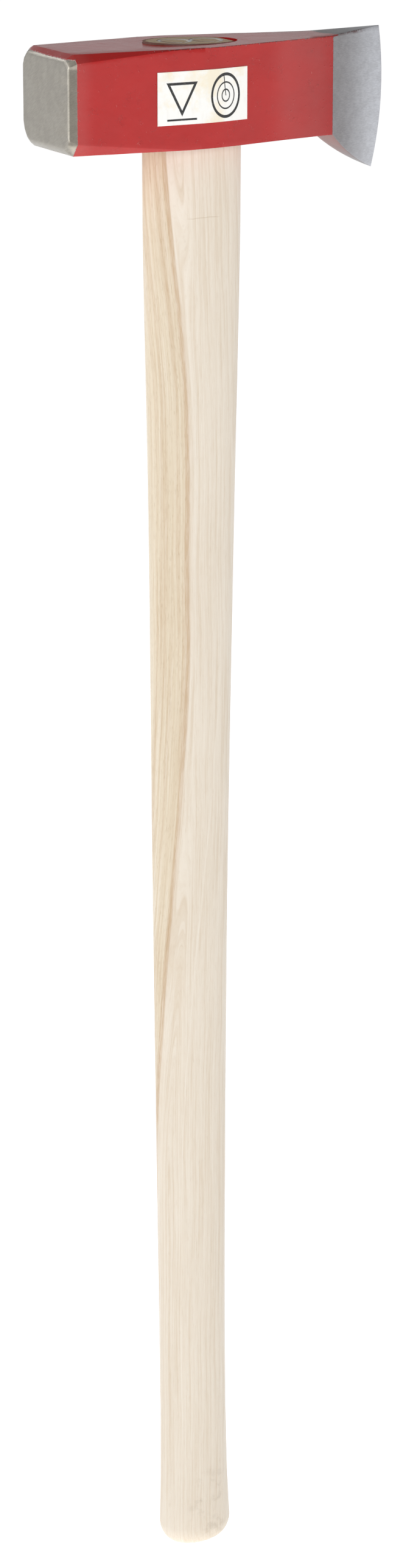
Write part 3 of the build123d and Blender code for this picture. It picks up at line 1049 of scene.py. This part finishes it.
class MAUL_OT_head(bpy.types.Operator):
    """Models the forged head and paints it"""

    bl_idname = "maul.head"
    bl_label = "Forged Head"

    def execute(self, context):
        head = context.scene.maul_head
        piece = model_head(head)
        soften_head(piece, head)
        finish_piece(piece, "head", head_material(head, context.scene.maul_colours))
        return {"FINISHED"}


class MAUL_OT_rings(bpy.types.Operator):
    """Models the two ring wedges"""

    bl_idname = "maul.rings"
    bl_label = "Ring Wedges"

    def execute(self, context):
        handle = context.scene.maul_handle
        steel = ring_material()
        for name, node in RINGS.items():
            piece = model_ring(name, node, handle)
            add_modifier(
                piece, "BEVEL", width=0.35 * MM, segments=3, limit_method="ANGLE",
                angle_limit=math.radians(40),
            )
            smooth_piece(piece, RING_SHADING)
            finish_piece(piece, node, steel)
        return {"FINISHED"}


class MAUL_OT_handle(bpy.types.Operator):
    """Models the ash handle, with a groove for each ring wedge"""

    bl_idname = "maul.handle"
    bl_label = "Ash Handle"

    def execute(self, context):
        head = context.scene.maul_head
        handle = context.scene.maul_handle
        piece = model_handle(head, handle)
        for node in RINGS.values():
            cutter = model_ring("groove_cutter", node, handle, clearance=0.08 * MM, lift=1 * MM)
            select_only(piece)
            add_modifier(piece, "BOOLEAN", operation="DIFFERENCE", object=cutter, solver="EXACT")
            bpy.data.objects.remove(cutter)
        smooth_piece(piece, HANDLE_SHADING)
        finish_piece(piece, "handle", ash_material(head, context.scene.maul_colours))
        return {"FINISHED"}


class MAUL_OT_label(bpy.types.Operator):
    """Models the label's film, which follows the cheek"""

    bl_idname = "maul.label"
    bl_label = "Cheek Label"

    def execute(self, context):
        head = context.scene.maul_head
        middle = (LABEL_LOW + LABEL_HIGH) / 2
        size = LABEL_HIGH - LABEL_LOW
        columns = 36
        piece = open_piece(
            "cheek_label", bpy.ops.mesh.primitive_grid_add, x_subdivisions=columns, y_subdivisions=18,
            size=1, location=(middle.x, 0, middle.z), rotation=(math.radians(90), 0, 0),
            scale=(size.x, size.z, 1),
        )
        for column in range(columns + 1):
            x = LABEL_LOW.x + size.x * column / columns
            pick_points(piece, lambda co: abs(co.x - x) < 0.05 * MM)
            bpy.ops.transform.translate(value=(0, -cheek_half(head, x), 0))
        close_piece()
        select_only(piece)
        offset = -math.copysign(1.0, piece.data.polygons[0].normal.y)
        add_modifier(piece, "SOLIDIFY", thickness=LABEL_FILM, offset=offset)
        smooth_piece(piece, LABEL_SHADING)
        finish_piece(piece, "label", sticker_material(context.scene.maul_colours))
        return {"FINISHED"}


class MAUL_OT_stage(bpy.types.Operator):
    """Sets up the floor, the soft lights and the camera"""

    bl_idname = "maul.stage"
    bl_label = "Studio"

    def execute(self, context):
        stage = context.scene.maul_stage
        floor = open_piece(
            "studio_floor", bpy.ops.mesh.primitive_plane_add, size=FLOOR_SIZE, location=(0, 0, 0)
        )
        pick_all()
        bpy.ops.mesh.subdivide(number_cuts=3)
        close_piece()
        floor.data.materials.append(floor_material(context.scene.maul_colours))

        self.sky(context.scene)
        target = Vector((0.02, 0, TOP_Z * 0.7))
        for name, place, size, power in SOFTBOXES:
            self.softbox(name, place, target, size, power)

        lens = bpy.data.cameras.new("camera")
        camera = bpy.data.objects.new("camera", lens)
        context.scene.collection.objects.link(camera)
        lens.sensor_width = 36
        lens.lens = stage.lens
        lens.shift_x = stage.shift_x
        lens.shift_y = stage.shift_y
        lens.clip_end = 100
        camera.location = (
            -stage.distance * math.sin(stage.azimuth),
            -stage.distance * math.cos(stage.azimuth),
            TOP_Z + stage.rise,
        )
        camera.rotation_euler = (math.radians(90) - stage.tilt, 0, -stage.azimuth)
        context.scene.camera = camera
        context.scene.view_settings.view_transform = "Standard"
        return {"FINISHED"}

    def softbox(self, name, place, target, size, power):
        """A square area light that points at the maul."""
        light = bpy.data.lights.new(name, "AREA")
        light.size = size
        light.energy = power
        lamp = bpy.data.objects.new(name, light)
        bpy.context.scene.collection.objects.link(lamp)
        lamp.location = place
        lamp.rotation_euler = (target - lamp.location).to_track_quat("-Z", "Y").to_euler()

    def sky(self, scene):
        """Plain surroundings: bright round the horizon, dimmer overhead."""
        world = bpy.data.worlds.new("studio")
        scene.world = world
        world.use_nodes = True
        nodes = world.node_tree.nodes
        nodes.clear()
        kinds = ("TexCoord", "SeparateXYZ", "MapRange", "Background", "OutputWorld")
        way, split, ramp, background, output = [nodes.new("ShaderNode" + kind) for kind in kinds]
        for key, value in SKY.items():
            ramp.inputs[key].default_value = value
        for start, end in (
            (way.outputs["Generated"], split.inputs[0]),
            (split.outputs["Z"], ramp.inputs["Value"]),
            (ramp.outputs[0], background.inputs["Strength"]),
            (background.outputs[0], output.inputs["Surface"]),
        ):
            world.node_tree.links.new(start, end)


class MAUL_PT_panel(bpy.types.Panel):
    """Lists the maul's pieces and their sizes"""

    bl_idname = "MAUL_PT_panel"
    bl_label = "Splitting Maul"
    bl_space_type = "VIEW_3D"
    bl_region_type = "UI"
    bl_category = "Maul"

    def draw(self, context):
        for operator in OPERATORS:
            self.layout.operator(operator.bl_idname)
        for name in SETTINGS:
            group = getattr(context.scene, name)
            box = self.layout.box()
            for key in group.bl_rna.properties.keys():
                if key not in ("rna_type", "name"):
                    box.prop(group, key)


OPERATORS = (MAUL_OT_head, MAUL_OT_rings, MAUL_OT_handle, MAUL_OT_label, MAUL_OT_stage)
SETTINGS = {
    "maul_head": MaulHeadSizes,
    "maul_handle": MaulHandleSizes,
    "maul_colours": MaulColours,
    "maul_stage": MaulStage,
}


def register():
    """Registers the add-on's classes and settings."""
    for name, group in SETTINGS.items():
        bpy.utils.register_class(group)
        setattr(bpy.types.Scene, name, bpy.props.PointerProperty(type=group))
    for item in (*OPERATORS, MAUL_PT_panel):
        bpy.utils.register_class(item)


def unregister():
    """Takes the add-on's classes and settings away."""
    for item in (MAUL_PT_panel, *reversed(OPERATORS)):
        bpy.utils.unregister_class(item)
    for name, group in reversed(SETTINGS.items()):
        delattr(bpy.types.Scene, name)
        bpy.utils.unregister_class(group)


def main():
    """Registers the add-on, then builds every piece and the studio."""
    register()
    bpy.ops.maul.head()
    bpy.ops.maul.rings()
    bpy.ops.maul.handle()
    bpy.ops.maul.label()
    bpy.ops.maul.stage()


if __name__ == "__main__":
    main()
